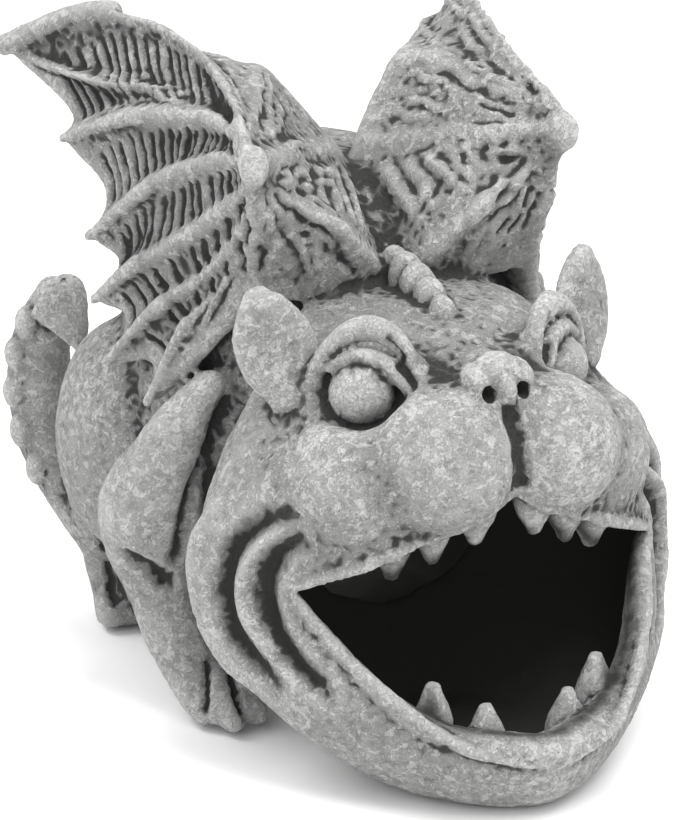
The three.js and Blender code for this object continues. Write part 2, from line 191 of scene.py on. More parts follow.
def loft(bm, levels, inset=0, around=72, rings=48):
    """A body of level sections. inset draws all of it inwards."""
    made, ring, turn = ball_grid(bm, around, rings)
    row = spline(levels, np.clip((ring - 1) / (rings - 2), 0, 1))
    z, front, widest, back, half, roundness = row.T
    out = ((ring > 0) & (ring < rings)).astype(float)
    c, s = np.cos(turn), np.sin(turn)
    power = 2 / roundness
    reach = np.where(s > 0, widest - front, back - widest) - inset
    put(made, np.stack([
        out * np.sign(c) * np.abs(c) ** power * (half - inset),
        widest - out * np.sign(s) * np.abs(s) ** power * reach,
        np.clip(z, levels[0][0] + inset, levels[-1][0] - inset),
    ], -1))


def block(bm, low, high):
    """A box from its lowest to its highest corner."""
    size = Vector(high) - Vector(low)
    place = Matrix.Translation((Vector(high) + Vector(low)) / 2) @ Matrix.Diagonal((*size, 1))
    bmesh.ops.create_cube(bm, size=1, matrix=place)


def head_plan(z):
    """Front, widest line, half width and roundness of the head at a height."""
    rows = spline(HEAD, np.linspace(0, 1, 201))
    return [float(np.interp(z, rows[:, 0], rows[:, k])) for k in (1, 2, 4, 5)]


def face_y(x, z):
    """Where the face stands at a distance from the middle and a height."""
    front, widest, half, roundness = head_plan(z)
    out = min(abs(x) / half, 1)
    return widest - (widest - front) * (1 - out ** roundness) ** (1 / roundness)


def upper_lip(x):
    return float(np.interp(abs(x), *zip(*UPPER_LIP)))


def lower_lip(x):
    return float(np.interp(abs(x), *zip(*LOWER_LIP)))


# ---------------------------------------------------------------------- wing shape

def wing_fingers(side):
    """The middle line of every finger, from the wrist out."""
    return [[mirrored(WRIST, side)] + [mirrored(p, side) for p in rows] for rows in FAN + SHEET]


def wing_inwards(side):
    """From a wing's front towards its back."""
    return unit(np.array(mirrored(WING_INWARDS, side)))


def web_point(side, finger, share, along):
    """A point on the front of a wing: between two fingers, and out from the wrist."""
    rows = wing_fingers(side)
    a = spline(rows[finger % len(rows)], along)
    b = spline(rows[(finger + 1) % len(rows)], along)
    share = np.asarray(share, float)
    slack = np.sin(math.pi * share)
    in_fan = finger < len(FAN) - 1
    sag = slack * along * (WEB_SAG if in_fan else WEB_SAG / 3)
    point = a + (b - a) * share[..., None] + wing_inwards(side) * sag[..., None]
    pull = (SCALLOP if in_fan else 0) * slack * along ** 4
    return point + (np.array(mirrored(WRIST, side)) - point) * pull[..., None]


def finger_bulk(finger, along):
    """Half width and height of a finger's rib."""
    wide, high = BULK[finger]
    return wide * (1 - 0.3 * along), high * (1 - 0.25 * along)


def wing(bm, side, columns=14, front=30, back=8):
    """A wing is an umbrella of fingers round the wrist, with a thick free edge and a
    plain back that closes down into the shoulders."""
    count = len(FAN) + len(SHEET)
    rings = front + back
    made, ring, turn = ball_grid(bm, count * columns, rings)
    place = np.rint((turn / (2 * math.pi) % 1) * count * columns).astype(int) % (count * columns)
    inwards = wing_inwards(side)
    wrist, root = np.array(mirrored(WRIST, side)), np.array(mirrored(WING_ROOT, side))
    points = np.zeros((len(made), 3))
    for finger in range(count):
        here = place // columns == finger
        share = (place[here] % columns) / columns
        along = np.clip(ring[here] / front, 0, 1)
        point = web_point(side, finger, share, along)
        lift = np.zeros(len(share))
        for end, from_share in ((finger, 0), (finger + 1, 1)):
            end %= count
            spine = web_point(side, end, np.zeros(len(share)), along)
            wide, high = finger_bulk(end, along)
            away = np.linalg.norm(point - spine, axis=-1) / wide
            lift = np.maximum(lift, high * np.sqrt(np.clip(1 - away ** 2, 0, 1)))
        closing = np.clip((ring[here] - front - 1) / (back - 1), 0, 1)[:, None]
        on_front = (ring[here] <= front)[:, None]
        behind = point + inwards * WING_THICK
        point = point - inwards * lift[:, None]
        points[here] = np.where(on_front, point, behind + (root - behind) * closing)
    points[ring == 0] = wrist
    points[ring == rings] = root
    put(made, points)
    blob(bm, wrist, WRIST_KNOB)


# ------------------------------------------------------------------- mesh handling

def drawn(bm, name):
    """Turns a bmesh of separate shells into a mesh."""
    mesh = bpy.data.meshes.new(name)
    bm.to_mesh(mesh)
    bm.free()
    return mesh


def placed(mesh):
    obj = bpy.data.objects.new(mesh.name, mesh)
    bpy.context.scene.collection.objects.link(obj)
    return obj


def new_object(bm, name):
    bmesh.ops.recalc_face_normals(bm, faces=bm.faces)
    return placed(drawn(bm, name))


def shells(name, *makers):
    """Each maker draws closed forms, and every one of them points outwards."""
    parts = bmesh.new()
    for maker in makers:
        bm = bmesh.new()
        maker(bm)
        bmesh.ops.recalc_face_normals(bm, faces=bm.faces)
        mesh = drawn(bm, "part")
        parts.from_mesh(mesh)
        bpy.data.meshes.remove(mesh)
    return placed(drawn(parts, name))


def settle(obj):
    """Applies the object's modifiers to its mesh."""
    graph = bpy.context.evaluated_depsgraph_get()
    mesh = bpy.data.meshes.new_from_object(obj.evaluated_get(graph))
    obj.modifiers.clear()
    old = obj.data
    obj.data = mesh
    bpy.data.meshes.remove(old)


def fuse(obj, voxel, smooth):
    """Remeshes overlapping forms into one skin and eases it."""
    remesh = obj.modifiers.new("Fuse", "REMESH")
    remesh.mode = "VOXEL"
    remesh.voxel_size = voxel
    remesh.adaptivity = 0
    ease = obj.modifiers.new("Ease", "SMOOTH")
    ease.factor = 0.5
    ease.iterations = smooth
    settle(obj)


def merge(target, *others):
    """Gives target the other objects' shells, unjoined."""
    bm = bmesh.new()
    bm.from_mesh(target.data)
    for other in others:
        bm.from_mesh(other.data)
        bpy.data.objects.remove(other)
    bm.to_mesh(target.data)
    bm.free()


def cut(target, cutter, keep=False):
    """Cuts one object out of another, and keeps the cutter only where asked."""
    carve = target.modifiers.new("Cut", "BOOLEAN")
    carve.operation = "DIFFERENCE"
    carve.solver = "MANIFOLD"
    carve.object = cutter
    settle(target)
    if keep:
        cutter.hide_render = True
    else:
        bpy.data.objects.remove(cutter)


def read(mesh):
    """The points and normals of a mesh."""
    points = np.empty(len(mesh.vertices) * 3, np.float32)
    mesh.vertices.foreach_get("co", points)
    normals = np.empty(len(mesh.vertices) * 3, np.float32)
    mesh.vertex_normals.foreach_get("vector", normals)
    return points.reshape(-1, 3).astype(float), normals.reshape(-1, 3).astype(float)


def write(mesh, points):
    mesh.vertices.foreach_set("co", points.astype(np.float32).ravel())
    mesh.update()


def edges_of(mesh):
    edges = np.empty(len(mesh.edges) * 2, np.int32)
    mesh.edges.foreach_get("vertices", edges)
    return edges.reshape(-1, 2)


def spread(values, edges, times):
    """Averages a value or a vector at each vertex with its neighbours, times over."""
    count = len(values)
    degree = np.bincount(edges.ravel(), minlength=count).clip(1)
    flat = values.reshape(count, -1)
    for _ in range(times):
        total = np.stack([
            np.bincount(edges[:, 0], flat[edges[:, 1], k], count)
            + np.bincount(edges[:, 1], flat[edges[:, 0], k], count)
            for k in range(flat.shape[1])], -1)
        flat = 0.5 * flat + 0.5 * total / degree[:, None]
    return flat.reshape(values.shape)


class Chisel:
    """Raises and lowers a surface along lines laid on it."""

    def __init__(self, mesh):
        self.mesh = mesh
        self.points, self.normals = read(mesh)
        self.lift = np.zeros(len(self.points))
        self.tree = kdtree.KDTree(len(self.points))
        for k, p in enumerate(self.points):
            self.tree.insert(p, k)
        self.tree.balance()

    def lay(self, line, pieces):
        """A line through rows of x, y, z, resampled and laid on the surface."""
        line = spline(line, np.linspace(0, 1, pieces + 1))
        laid = np.array([self.tree.find(p)[0] for p in line])
        if len(laid) > 2:
            laid[1:-1] = (laid[:-2] + 2 * laid[1:-1] + laid[2:]) / 4
        return laid

    def stroke(self, line, width, height, pieces=14, taper=0.35, sharp=1.0):
        """A ridge, or a groove where height is negative. taper is the share of the
        line over which each end fades out; sharp above 1 makes the crest narrower."""
        laid = self.lay(line, pieces)
        low, high = laid.min(0) - width, laid.max(0) + width
        near = np.flatnonzero(((self.points > low) & (self.points < high)).all(1))
        if not len(near):
            return
        p = self.points[near]
        best = np.full(len(near), 1e9)
        share = np.zeros(len(near))
        for k in range(pieces):
            a, b = laid[k], laid[k + 1]
            ab = b - a
            u = np.clip((p - a) @ ab / max(ab @ ab, 1e-9), 0, 1)
            d = np.linalg.norm(p - a - u[:, None] * ab, axis=1)
            closer = d < best
            best = np.where(closer, d, best)
            share = np.where(closer, (k + u) / pieces, share)
        fade = np.clip(np.minimum(share, 1 - share) / max(taper, 1e-6), 0, 1)
        fade = np.sin(fade * math.pi / 2)
        shape = np.clip(1 - best / width, 0, 1)
        shape = (shape * shape * (3 - 2 * shape)) ** sharp
        self.lift[near] += height * shape * fade

    def dent(self, centre, radius, height):
        away = np.linalg.norm(self.points - np.asarray(centre, float), axis=1) / radius
        shape = np.clip(1 - away, 0, 1)
        self.lift += height * shape * shape * (3 - 2 * shape)

    def done(self):
        write(self.mesh, self.points + self.normals * self.lift[:, None])


# ------------------------------------------------------------------- the big forms

# Rows of a limb are x, y, z, its half width and, where it isn't round, its half height.
BROW = [(55, -52, 126, 3), (53, -53, 140, 4.5), (46, -57, 154, 5.5), (36, -62, 161, 6),
        (27, -70, 156, 5.5), (22, -79, 138, 3.5)]
LID = [(54, -54, 131, 2.5), (50, -62, 125, 3), (42, -70, 123, 3), (32, -77, 126, 3),
       (24, -81, 133, 2.5)]
LID_FOLD = [(48, -58, 147, 2), (40, -64, 152, 3), (32, -70, 149, 3.2), (26, -77, 142, 3),
            (23, -81, 135, 2)]
EYE, EYE_RADIUS = (38, -63, 138), 11.5
EYE_SOCKET, EYE_SOCKET_RADIUS, EYE_SOCKET_DEPTH = (39, -68, 139), 21, 11
PUFF, PUFF_RADII = (20, -89, 119), (27, 26, 26)
CHEEK, CHEEK_RADII, CHEEK_TURN = (42, -72, 108), (30, 26, 26), 0.5
NOSE_BRIDGE, NOSE_BRIDGE_RADII = (0, -86, 143), (13, 14, 10)
ARM = [(66, 4, 126, 6), (76, 7, 112, 10), (81, 12, 96, 14), (83, 18, 80, 20), (81, 22, 62, 19),
       (79, 20, 46, 14), (78, 15, 32, 12), (75, 8, 20, 11), (72, 2, 12, 9)]
HAUNCH, HAUNCH_RADII, HAUNCH_LEAN = (62, 82, 82), (31, 42, 49), 0.12
SHIN = [(66, 100, 60, 20), (64, 110, 36, 14), (62, 110, 14, 11)]
TAIL = [(-64, 110, 34, 14), (-72, 124, 50, 14), (-79, 136, 68, 13), (-81, 141, 88, 13),
        (-80, 140, 108, 12), (-77, 134, 124, 9)]
SPADE = [(-79, 134, 130, 6, 4), (-77, 129, 127, 12, 5), (-74, 121, 117, 7, 4), (-72, 116, 107, 1, 1)]
# Root and tip of each finger of the hand on the ground.
FINGERS = [((79, 4), (77, -12)), ((71, 0), (70, -23)), ((62, 0), (59, -20))]

# Folds of the skin as x, y, z on one side, with half width and height; a groove's
# height is negative.
FOLDS = [
    ([(69, -78, 106), (81, -64, 95), (88, -56, 77), (88, -59, 60), (83, -69, 49), (74, -80, 39)], 8, -6.5),
    ([(66, -80, 95), (74, -73, 89), (79, -70, 74), (77, -75, 60), (70, -86, 48), (62, -96, 39)], 7, -6),
    ([(82, -50, 100), (91, -42, 84), (92, -42, 64), (86, -53, 48), (76, -68, 36)], 9, 3),
    ([(73, -76, 99), (82, -64, 84), (83, -64, 66), (77, -76, 52)], 6, 2.5),
    ([(32, -69, 161), (30, -73, 154), (27, -78, 146), (26, -81, 140)], 3, -2.5),
    ([(64, 7, 107), (70, 5, 98), (76, 1, 84), (80, 3, 68), (80, 5, 56)], 6, -4),
    ([(100, 13, 66), (95, 9, 61), (89, 7, 57), (84, 7, 53), (79, 6, 51)], 6, -4.5),
    ([(70, -1, 24), (76, -12, 15), (78, -16, 6)], 2.6, -3),
    ([(64, -5, 22), (66, -18, 14), (67, -24, 5)], 2.6, -3),
    ([(70, 100, 27), (70, 98, 15), (70, 88, 9)], 3, -2),
    ([(82, 82, 45), (76, 92, 38), (70, 100, 30)], 5, -3),
    ([(60, -96, 59), (50, -108, 46), (40, -118, 36), (28, -128, 28), (14, -135, 24), (0, -138, 23)], 3, 2.2),
]
MID_GROOVE = [(0, -99, 140), (0, -104, 130), (0, -107, 116), (0, -107, 110)]


def rows_on(side, rows):
    return [mirrored(r, side) for r in rows]


def head(bm):
    loft(bm, HEAD)


def trunk(bm):
    loft(bm, BODY)


def puff(side):
    return lambda bm: blob(bm, mirrored(PUFF, side), PUFF_RADII)


def cheek(side):
    return lambda bm: blob(bm, mirrored(CHEEK, side), CHEEK_RADII, (0, 0, side * CHEEK_TURN))


def arm(side):
    return lambda bm: limb(bm, rows_on(side, ARM), up=(1, 0, 0), around=28)


def haunch(side):
    return lambda bm: blob(bm, mirrored(HAUNCH, side), HAUNCH_RADII, (HAUNCH_LEAN, 0, 0))


def shin(side):
    return lambda bm: limb(bm, rows_on(side, SHIN), up=(1, 0, 0), around=28)


def tail(bm):
    limb(bm, TAIL, up=(0, 1, 0))


def whole_wing(side):
    return lambda bm: wing(bm, side)


def toe(side, spread_by):
    rows = [(62 + 5 * spread_by, 106, 8, 7), (63 + 9 * spread_by, 92, 6, 6)]
    return lambda bm: limb(bm, rows_on(side, rows))


def finger(side, root, tip):
    middle = ((root[0] + tip[0]) / 2, (root[1] + tip[1]) / 2)
    rows = [(*root, 17, 6.5), (*middle, 11, 6.5), (*tip, 5.2, 5)]
    return lambda bm: limb(bm, rows_on(side, rows))


def flesh_forms():
    return [head, nose_bridge] + [make(side) for side in SIDES for make in (puff, cheek, brow)]


def body_forms():
    makers = [trunk, tail]
    for side in SIDES:
        makers += [arm(side), haunch(side), shin(side)]
        makers += [toe(side, k) for k in (-1, 0, 1)]
        makers += [finger(side, root, tip) for root, tip in FINGERS]
    return makers


def hollow_forms():
    def bowl(bm):
        loft(bm, HEAD[:BOWL_LEVELS], WALL)

    def belly(bm):
        loft(bm, BODY, WALL)

    def socket(bm):
        block(bm, (-SOCKET_HALF, RUMP_Y - SOCKET_DEEP, SOCKET_BOTTOM),
              (SOCKET_HALF, RUMP_Y + SOCKET_DEEP, SOCKET_BOTTOM + SOCKET_TALL))

    return [bowl, belly, socket]


def mouth_cutter():
    bm = bmesh.new()
    made = bmesh.ops.create_circle(bm, cap_ends=True, segments=96, radius=1)["verts"]
    for v in made:
        x = MOUTH_HALF * v.co.x
        z = upper_lip(x) if v.co.y > 0 else lower_lip(x)
        v.co = (x, MOUTH_FRONT, z)
    out = bmesh.ops.extrude_face_region(bm, geom=bm.faces[:])["geom"]
    moved = [g for g in out if isinstance(g, bmesh.types.BMVert)]
    bmesh.ops.translate(bm, verts=moved, vec=(0, MOUTH_BACK - MOUTH_FRONT, 0))
    return new_object(bm, "mouth")


def rump_cutter():
    bm = bmesh.new()
    block(bm, (-SOCKET_HALF - RIM, RUMP_Y, SOCKET_BOTTOM - RIM),
          (SOCKET_HALF + RIM, RUMP_Y + RUMP_WASTE, SOCKET_BOTTOM + SOCKET_TALL + RIM))
    return new_object(bm, "rump")


# ------------------------------------------------------------------ the crisp forms

# Teeth: how far from the middle, how far behind the face, height of root and of tip.
UPPER_TEETH = [(11.5, 5, 106, 92.5), (26, 5, 101, 86.5), (39, 5, 96, 81)]
LOWER_TEETH = [(16, 18, 20, 36), (32, 17, 24, 43)]
# Ears: share of the way to the tip, half width, half thickness and lift off the middle.
EAR_ROOT, EAR_TIP, EAR_FACING = (57, -48, 135), (65, -34, 171), (0.35, -0.93, 0.1)
EAR_LEAF = [(0, 9, 6, 0), (0.3, 14, 5, 0), (0.6, 14, 4, 0), (0.85, 9, 4, 0), (0.95, 5, 3, 0)]
EAR_DISH = [(0.12, 6, 4.5, 4.5), (0.4, 11, 5.5, 4.5), (0.65, 10, 4, 4.5), (0.85, 5, 3.5, 4.5)]
NOSTRIL, NOSTRIL_RADII = (6.5, -98, 143), (3, 6, 3.2)
SPIKES, CREST_BACK, CREST_RUN, CREST_DROP = 6, (0, -4, 166), 46, 8
TAIL_KNOBS, TAIL_KNOB_RADII = 5, (4.5, 6, 7)
SPADE_FACING = (-0.4, -0.8, 0.4)


def lip(edge, rise, high, thick):
    """A rolled lip along an edge of the mouth, thinner towards the corners."""
    def make(bm):
        rows = []
        for k in range(-8, 9):
            x = MOUTH_HALF * math.sin(math.pi * k / 16)
            slim = 1 - 0.55 * abs(k / 8) ** 2
            rows.append((x, face_y(x, edge(x)) + thick * slim, edge(x) + rise * slim,
                         high * slim, thick * slim))
        limb(bm, rows, up=(0, 1, 0), steps=64)
    return make


def tooth(side, x, behind, root, tip):
    y = face_y(x, root) + behind
    rows = [(side * x, y, root, 8.5, 7), (side * x, y, (root + tip) / 2, 7, 6), (side * x, y, tip, 3)]
    return lambda bm: limb(bm, rows, up=(0, 1, 0), around=14, steps=10)


def eye(side):
    return lambda bm: blob(bm, mirrored(EYE, side), (EYE_RADIUS, EYE_RADIUS, EYE_RADIUS))


def brow(side):
    return lambda bm: limb(bm, rows_on(side, BROW), up=(0, 1, 0))


def lid(side):
    return lambda bm: limb(bm, rows_on(side, LID), up=(0, 1, 0))


def lid_fold(side):
    return lambda bm: limb(bm, rows_on(side, LID_FOLD), up=(0, 1, 0))


def ear_rows(side, table):
    root, tip, facing = (np.array(mirrored(v, side), float) for v in (EAR_ROOT, EAR_TIP, EAR_FACING))
    return [(*(root + (tip - root) * share + facing * lift), half, thick)
            for share, half, thick, lift in table], tuple(facing)


def ear(side):
    rows, facing = ear_rows(side, EAR_LEAF)
    return lambda bm: limb(bm, rows, up=facing)


def ear_dish(side):
    rows, facing = ear_rows(side, EAR_DISH)
    return lambda bm: limb(bm, rows, up=facing)


def nose_bridge(bm):
    blob(bm, NOSE_BRIDGE, NOSE_BRIDGE_RADII, (0.5, 0, 0))


def nose(bm):
    blob(bm, (0, -90, 148), (9, 8, 6.5), (0.5, 0, 0))
    blob(bm, (0, -95, 143), (4, 6, 7), (0.3, 0, 0))
    for side in SIDES:
        blob(bm, (side * 8, -90, 146), (5, 7.5, 6), (0.3, 0, 0))


def nostril(side):
    return lambda bm: blob(bm, mirrored(NOSTRIL, side), NOSTRIL_RADII)


def crest_spike(k):
    """A spike of the nape, the biggest in the middle of the row."""
    share = k / (SPIKES - 1)
    size = 4.5 + 2.5 * math.sin(math.pi * share)
    x, y, z = CREST_BACK
    at = (x, y - CREST_RUN * share, z - CREST_DROP * share)
    return lambda bm: blob(bm, at, (size, size, size * 1.6), (-0.4, 0, 0))


def tail_knob(k):
    """Knobs along the outer edge of the tail."""
    x, y, z, girth = spline(TAIL, 0.3 + 0.6 * k / (TAIL_KNOBS - 1))
    return lambda bm: blob(bm, (x - 0.85 * girth, y - 2, z), TAIL_KNOB_RADII)


def spade(bm):
    limb(bm, SPADE, up=SPADE_FACING)


def finger_tip(side, k):
    """The bare end of a wing finger stands a little past the web."""
    shares = np.linspace(0.72, 1, 5)
    points = spline(wing_fingers(side)[k], shares)
    rows = [(*p, 4.2 - 2.6 * share ** 3 * (k > 0)) for p, share in zip(points, shares)]
    return lambda bm: limb(bm, rows)


def crisp_forms():
    makers = [lip(upper_lip, 3, 3, 4.5), lip(lower_lip, -1, 4.5, 8), nose, spade]
    makers += [crest_spike(k) for k in range(SPIKES)]
    makers += [tail_knob(k) for k in range(TAIL_KNOBS)]
    for side in SIDES:
        makers += [tooth(side, *row) for row in UPPER_TEETH + LOWER_TEETH]
        makers += [eye(side), lid(side), lid_fold(side)]
        makers += [finger_tip(side, k) for k in range(len(FAN))]
    return makers


# ------------------------------------------------------------------- the settings

class GargoyleCarving(bpy.types.PropertyGroup):
    fold_depth: bpy.props.FloatProperty(
        name="Fold depth", description="How deep the folds of the skin are, as a share of their own depth",
        default=1.0, min=0.0, max=2.0)
    wrinkle_depth: bpy.props.FloatProperty(
        name="Wrinkle depth", description="How strong the veins and puckers of the wings are",
        default=1.0, min=0.0, max=2.0)
    slot_depth: bpy.props.FloatProperty(
        name="Slot depth", description="Deepest slot across the webs of the wings",
        default=0.0026, min=0.0, max=0.005, unit="LENGTH")
    weathering: bpy.props.FloatProperty(
        name="Weathering", description="Height of the worn surface's lumps",
        default=0.0009, min=0.0, max=0.003, unit="LENGTH")


class GargoyleStone(bpy.types.PropertyGroup):
    chalk: bpy.props.FloatVectorProperty(
        name="Chalk", description="Colour of the crust on the raised grain", subtype="COLOR",
        size=3, default=(0.5, 0.5, 0.495), min=0.0, max=1.0)
    stone: bpy.props.FloatVectorProperty(
        name="Stone", description="Colour of the bare stone between the crust", subtype="COLOR",
        size=3, default=(0.15, 0.151, 0.148), min=0.0, max=1.0)
    # Painted shade: a near-black colour laid into the hollows of the carving where shade falls; it is not a
    # stain on the stone.
    painted_shade: bpy.props.FloatVectorProperty(
        name="Dirt", description="Colour of the dirt in the hollows of the carving", subtype="COLOR",
        size=3, default=(0.028, 0.028, 0.027), min=0.0, max=1.0)
    # The wall of the water passage: partly the dark raw cast, and partly painted shade, darker than the cast
    # so the inside of the mouth stays dark under the light coming in.
    lining_and_shade: bpy.props.FloatVectorProperty(
        name="Lining", description="Colour of the smooth dark wall of the water passage",
        subtype="COLOR", size=3, default=(0.03, 0.032, 0.027), min=0.0, max=1.0)
    crust_size: bpy.props.FloatProperty(
        name="Crust size", description="Distance between the coarser scabs of crust",
        default=0.0036, min=0.001, max=0.02, unit="LENGTH")
    roughness: bpy.props.FloatProperty(
        name="Roughness", description="Roughness of the stone", default=0.92, min=0.0, max=1.0)


class GargoyleStage(bpy.types.PropertyGroup):
    floor: bpy.props.FloatVectorProperty(
        name="Floor", description="Colour of the floor", subtype="COLOR",
        size=3, default=(0.95, 0.95, 0.95), min=0.0, max=1.0)
    sky: bpy.props.FloatProperty(
        name="Sky", description="Strength of the soft light from all round", default=1.1, min=0.0, max=5.0)
    key: bpy.props.FloatProperty(
        name="Key light", description="Power of the large light overhead", default=26.0, min=0.0,
        max=200.0, unit="POWER")
    lens: bpy.props.FloatProperty(
        name="Lens", description="Focal length of the camera", default=143.8, min=20.0, max=300.0,
        unit="CAMERA")


SETTINGS = {"gargoyle_carving": GargoyleCarving, "gargoyle_stone": GargoyleStone,
            "gargoyle_stage": GargoyleStage}


# -------------------------------------------------------------------- the operators

def work(name):
    """The object of a name, which the step before has to have made."""
    made = bpy.data.objects.get(name)
    if made is None:
        raise RuntimeError("the step that makes " + name + " has not run yet")
    return made


class GARGOYLE_OT_form(bpy.types.Operator):
    """Blocks out the beast, blends its muscles and hollows it from mouth to rump"""
    bl_idname = "gargoyle.form"
    bl_label = "Block out the beast"

    def execute(self, context):
        voxel = FORM_VOXEL
        blend = (QUICK_FORM_VOXEL / voxel) ** 2
        beast = shells("gargoyle_stone", *flesh_forms())
        fuse(beast, voxel, smooth=round(26 * blend))
        sockets = Chisel(beast.data)
        for side in SIDES:
            sockets.dent(mirrored(EYE_SOCKET, side), EYE_SOCKET_RADIUS, -EYE_SOCKET_DEPTH)
        sockets.done()
        body = shells("body", *body_forms())
        fuse(body, voxel, smooth=round(8 * blend))
        wings = shells("wings", *(whole_wing(s) for s in SIDES))
        fuse(wings, voxel, smooth=round(2 * blend))
        merge(beast, body, wings)
        fuse(beast, voxel, smooth=round(3 * blend))
        inside = shells("hollow", *hollow_forms())
        fuse(inside, voxel, smooth=4)
        cut(beast, rump_cutter())
        cut(beast, inside, keep=True)
        cut(beast, mouth_cutter())
        return {"FINISHED"}


class GARGOYLE_OT_details(bpy.types.Operator):
    """Adds the lips, teeth, eyes, ears, nose, crest and spade tip"""
    bl_idname = "gargoyle.details"
    bl_label = "Add the crisp forms"

    def execute(self, context):
        voxel = DETAIL_VOXEL
        beast = work("gargoyle_stone")
        merge(beast, shells("crisp", *crisp_forms()))
        ears = shells("ears", *(ear(s) for s in SIDES))
        fuse(ears, DETAIL_VOXEL, smooth=2)
        dishes = shells("dishes", *(ear_dish(s) for s in SIDES))
        cut(ears, dishes)
        merge(beast, ears)
        fuse(beast, voxel, smooth=1)
        holes = shells("nostrils", *(nostril(s) for s in SIDES))
        cut(beast, holes)
        return {"FINISHED"}


class GARGOYLE_OT_carve(bpy.types.Operator):
    """Carves the folds, the web slots and the wrinkles into the surface"""
    bl_idname = "gargoyle.carve"
    bl_label = "Carve the surface"

    def execute(self, context):
        beast = work("gargoyle_stone")
        chisel = Chisel(beast.data)
        carving = context.scene.gargoyle_carving
        skin_folds(chisel, carving.fold_depth)
        web_slots(chisel, carving.slot_depth / MM)
        wing_wrinkles(chisel, carving.wrinkle_depth)
        chisel.done()
        return {"FINISHED"}


def skin_folds(chisel, depth):
    """Folds round the smile and the limbs, and the groove under the nose."""
    for side in SIDES:
        for line, width, height in FOLDS:
            chisel.stroke(rows_on(side, line), width, height * depth, pieces=24, taper=0.3)
    chisel.stroke(MID_GROOVE, 5, -3 * depth, taper=0.2)


def wing_wrinkles(chisel, depth):
    """Veins and puckers on the roof and on the front sheets of the wings."""
    rng = random.Random(11)
    for side in SIDES:
        tip = web_point(side, 0, np.zeros(1), np.ones(1))[0]
        for k in range(16):
            foot = web_point(side, 9, np.array([rng.uniform(0, 0.35)]),
                             np.array([0.25 + 0.72 * (k + rng.uniform(-0.3, 0.3)) / 16]))[0]
            reach = np.sort(np.array([rng.uniform(0.05, 0.3), rng.uniform(0.6, 0.95)]))
            line = [tip + (foot - tip) * t + np.array([rng.uniform(-2, 2) for _ in range(3)])
                    for t in np.linspace(*reach, 5)]
            chisel.stroke(line, rng.uniform(1.8, 3.0), depth * rng.uniform(0.9, 1.9), pieces=12, sharp=0.6)
        for k in range(7):
            along = 0.3 + 0.64 * k / 6
            shares = np.linspace(0.2, 0.85, 5)
            line = web_point(side, 8, shares, along + np.array([rng.uniform(-0.03, 0.03) for _ in shares]))
            chisel.stroke(line, rng.uniform(3.5, 5), depth * rng.uniform(1.4, 2.6), pieces=12)
        for web, count in ((5, 6), (6, 7), (7, 9), (8, 8), (9, 8), (10, 8)):
            for _ in range(count):
                start, turn = rng.uniform(0.2, 0.7), rng.uniform(0.1, 0.9)
                along = np.linspace(start, start + rng.uniform(0.15, 0.3), 5)
                shares = np.clip(turn + np.cumsum([rng.uniform(-0.08, 0.08) for _ in along]), 0.05, 0.95)
                line = web_point(side, web, shares, np.clip(along, 0, 1))
                rise = rng.choice((-1, 1)) * depth * rng.uniform(0.7, 1.5)
                chisel.stroke(line, rng.uniform(1.6, 2.6), rise, pieces=10, sharp=0.6)


def web_slots(chisel, depth):
    """Narrow slots across each web of the fan, from finger to finger."""
    rng = random.Random(7)
    for side in SIDES:
        for web, count in enumerate((22, 18, 15, 11, 8)):
            for k in range(count):
                along = 0.2 + 0.76 * (k + rng.uniform(-0.2, 0.2)) / count
                shares = np.linspace(0.16, 0.84, 8)
                bow = along + 0.05 * np.sin(math.pi * shares) - 0.03
                line = web_point(side, web, shares, np.clip(bow, 0, 1))
                chisel.stroke(line, rng.uniform(1.8, 2.6), -depth * rng.uniform(0.65, 1),
                              pieces=10, taper=0.3, sharp=0.8)


class GARGOYLE_OT_finish(bpy.types.Operator):
    """Weathers the stone, thins the mesh and dresses it in its material"""
    bl_idname = "gargoyle.finish"
    bl_label = "Weather and dress"

    def execute(self, context):
        beast = work("gargoyle_stone")
        mesh = beast.data
        points, normals = read(mesh)
        rough = np.empty(len(points))
        for k, p in enumerate(points):
            v = Vector(p)
            rough[k] = (noise.fractal(v / 12, 0.9, 2.1, 5) * 0.4
                        + (0.35 - abs(noise.noise(v / 3.5))) * 0.6)
        weathering = context.scene.gargoyle_carving.weathering / MM
        points += normals * (weathering * rough)[:, None]
        points *= MM
        points[:, 1] -= BEAST_MIDDLE * MM
        low, high = np.array(cad_low), np.array(cad_high)
        points = np.clip(points, low, high)
        write(mesh, points)
        count = len(mesh.polygons) * 2
        if count > TRIANGLES:
            thin = beast.modifiers.new("Thin", "DECIMATE")
            thin.ratio = TRIANGLES / count
            settle(beast)
            mesh = beast.data
        hollow = work("hollow")
        masks(mesh, hollow)
        bpy.data.objects.remove(hollow)
        for p in mesh.polygons:
            p.use_smooth = True
        mesh.materials.clear()
        mesh.materials.append(stone_material(context.scene.gargoyle_stone))
        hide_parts("gargoyle")
        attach(beast, "root")
        return {"FINISHED"}


def masks(mesh, hollow):
    """Stores how far each point stands proud of the surface around it, and which
    points line the hollow."""
    points, normals = read(mesh)
    edges = edges_of(mesh)
    near = spread(points, edges, 3)
    far = spread(near, edges, 40)
    layers = {"raised": ((points - near) * normals).sum(1) / 0.00035,
              "proud": ((points - far) * normals).sum(1) / 0.004}
    wall = bvhtree.BVHTree.FromPolygons([v.co for v in hollow.data.vertices],
                                        [p.vertices for p in hollow.data.polygons])
    away = np.empty(len(points))
    back = points / MM + np.array((0, BEAST_MIDDLE, 0))
    for k, p in enumerate(back):
        away[k] = wall.find_nearest(p, 6)[3] or 6
    layers["inside"] = spread(np.clip((3.5 - away) / 1.5, 0, 1), edges, 2)
    for name, value in layers.items():
        layer = mesh.attributes.new(name, "FLOAT", "POINT")
        layer.data.foreach_set("value", np.clip(value, -1, 1).astype(np.float32))


# ---------------------------------------------------------------------- materials

